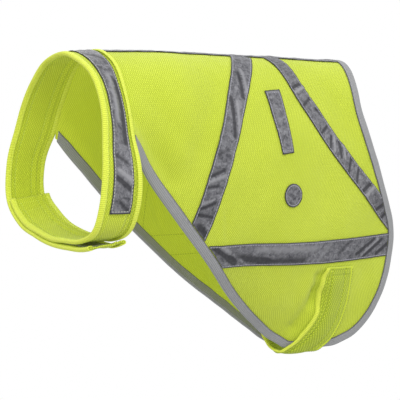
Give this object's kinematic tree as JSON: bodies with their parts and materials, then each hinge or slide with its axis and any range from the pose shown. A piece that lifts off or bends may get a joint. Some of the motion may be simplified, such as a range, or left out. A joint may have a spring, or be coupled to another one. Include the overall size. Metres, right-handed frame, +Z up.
{
  "type": "dog safety vest",
  "caption": "Yellow-green mesh dog cape with reflective tapes, grey binding, a wide lapped collar band and a belly strap, filled out as worn and empty.",
  "frame": {"origin": "inside face of the back at the withers, where the dog carries the vest, on the middle plane", "axes": "+X toward the dog's rear, the dog faces -X; -Y is the dog's left side, the near side in the picture; +Z up"},
  "size_m": [0.3987, 0.1818, 0.3196],
  "materials": {
    "lime_mesh": "fluorescent yellow-green fine warp-knit mesh, matt",
    "lime_binding": "folded strip of the same knit, matt",
    "grey_binding": "light grey ribbed binding tape, matt",
    "reflective_tape": "grey retroreflective glass-bead tape, slightly crinkled, low sheen",
    "hook_tape": "grey-white hook tape, rough"
  },
  "bodies": {
    "root": {"back_panel": "lime_mesh", "body_binding": "grey_binding", "spine_tape": "reflective_tape", "front_tape_left": "reflective_tape", "rear_tape_left": "reflective_tape", "side_tape_left": "reflective_tape", "bar_left": "reflective_tape", "dot_left": "reflective_tape", "front_tape_right": "reflective_tape", "rear_tape_right": "reflective_tape", "side_tape_right": "reflective_tape", "bar_right": "reflective_tape", "dot_right": "reflective_tape", "belly_strap": "lime_mesh", "strap_piping": "lime_binding", "collar_band": "lime_mesh", "collar_edge_front": "lime_binding", "collar_edge_rear": "lime_binding", "collar_tape": "reflective_tape", "collar_hook_pad": "hook_tape"}
  },
  "joints": []
}
